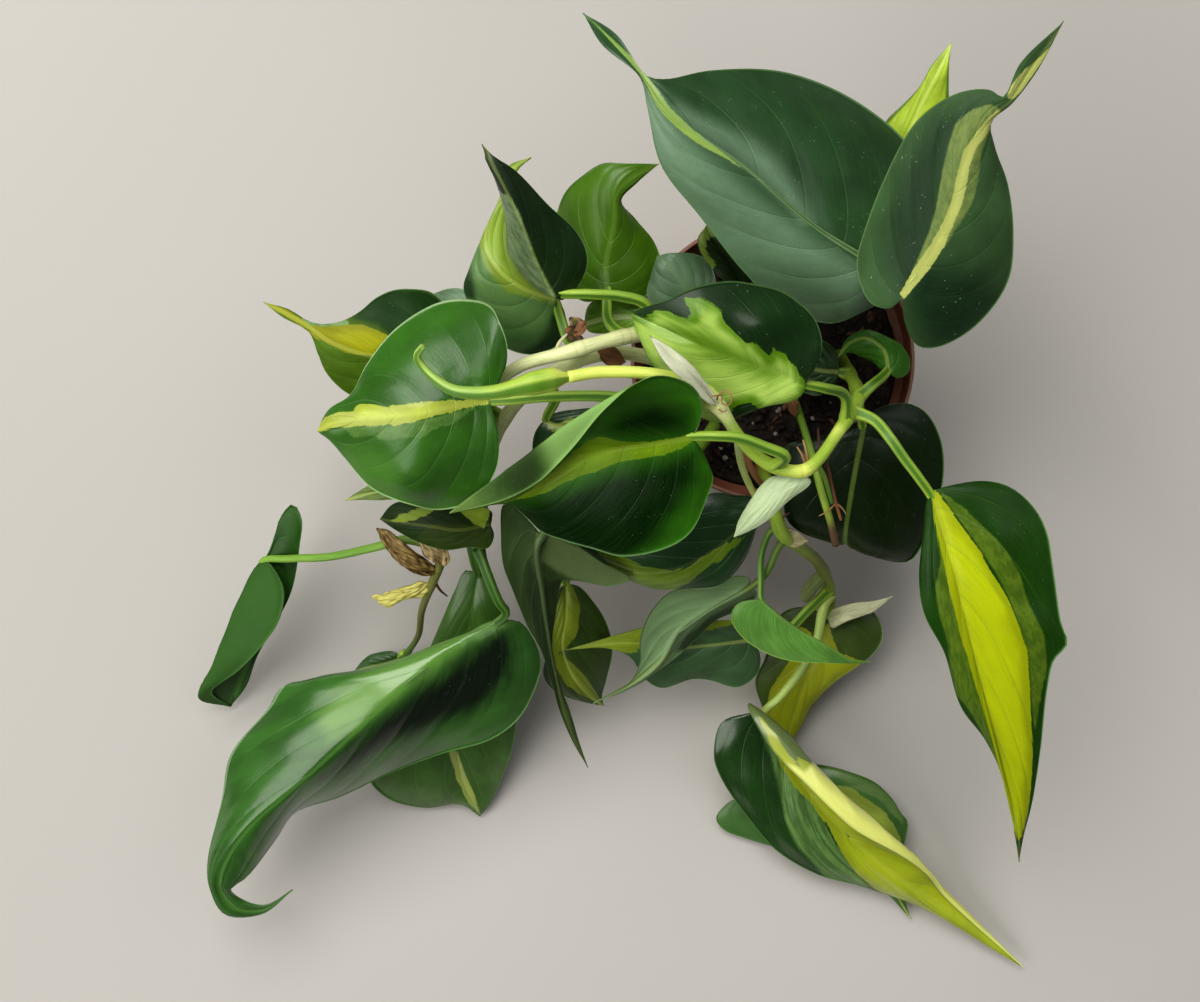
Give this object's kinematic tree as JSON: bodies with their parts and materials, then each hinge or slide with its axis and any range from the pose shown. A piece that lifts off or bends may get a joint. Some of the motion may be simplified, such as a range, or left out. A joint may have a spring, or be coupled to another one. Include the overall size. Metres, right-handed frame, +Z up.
{
  "type": "potted brasil philodendron",
  "caption": "Trailing aroid house plant with heart-shaped, lime-striped dark green leaves, standing in soil in a plain round nursery pot.",
  "frame": {"origin": "centre of the underside of the pot's base, on the surface it stands on", "axes": "+Z up along the pot's axis; -X is where most of the leaves spread and -Y is the side the longest leaves hang to"},
  "size_m": [0.3435, 0.3549, 0.1994],
  "materials": {
    "pot_plastic": "satin",
    "potting_soil": "matte",
    "pale_stem": "satin",
    "green_stem": "satin",
    "new_leaf": "satin",
    "glossy_leaf": "gloss",
    "dusty_leaf": "satin",
    "bright_leaf": "satin",
    "yellow_leaf": "satin",
    "pale_sheath": "satin",
    "brown_sheath": "matte"
  },
  "bodies": {
    "root": {"leaf_back_grey": "glossy_leaf", "leaf_back_pale": "yellow_leaf", "leaf_back_round": "dusty_leaf", "leaf_back_young": "dusty_leaf", "leaf_behind_centre": "glossy_leaf", "leaf_centre": "glossy_leaf", "leaf_curly": "bright_leaf", "leaf_far_left": "dusty_leaf", "leaf_front_folded": "glossy_leaf", "leaf_front_low": "glossy_leaf", "leaf_front_right": "glossy_leaf", "leaf_front_right_low": "glossy_leaf", "leaf_front_small": "bright_leaf", "leaf_front_yellow": "yellow_leaf", "leaf_hanging_back": "glossy_leaf", "leaf_inner_dark": "glossy_leaf", "leaf_inner_yellow": "yellow_leaf", "leaf_left_big": "glossy_leaf", "leaf_left_dark": "dusty_leaf", "leaf_left_green": "bright_leaf", "leaf_left_small": "glossy_leaf", "leaf_left_tiny": "glossy_leaf", "leaf_left_yellow": "bright_leaf", "leaf_low_behind": "glossy_leaf", "leaf_low_big": "glossy_leaf", "leaf_lower_tiny": "glossy_leaf", "leaf_middle": "glossy_leaf", "leaf_right_dark": "glossy_leaf", "leaf_right_yellow": "yellow_leaf", "leaf_side_left": "bright_leaf", "leaf_under_centre": "glossy_leaf", "leaf_under_left": "glossy_leaf", "leaf_upper_left": "dusty_leaf", "leaf_upper_right": "dusty_leaf", "new_leaf": "new_leaf", "pot": "pot_plastic", "sheath_front_dry": "brown_sheath", "sheath_front_flap": "pale_sheath", "sheath_front_node": "pale_sheath", "sheath_left_brown": "brown_sheath", "sheath_left_dry": "brown_sheath", "sheath_left_yellow": "pale_sheath", "sheath_main_lower": "pale_sheath", "sheath_main_upper": "pale_sheath", "soil": "potting_soil", "stem_cut": "green_stem", "stem_front": "green_stem", "stem_left_a": "pale_stem", "stem_left_b": "pale_stem", "stem_low": "green_stem", "stem_main": "green_stem", "stem_top": "green_stem"}
  },
  "joints": []
}
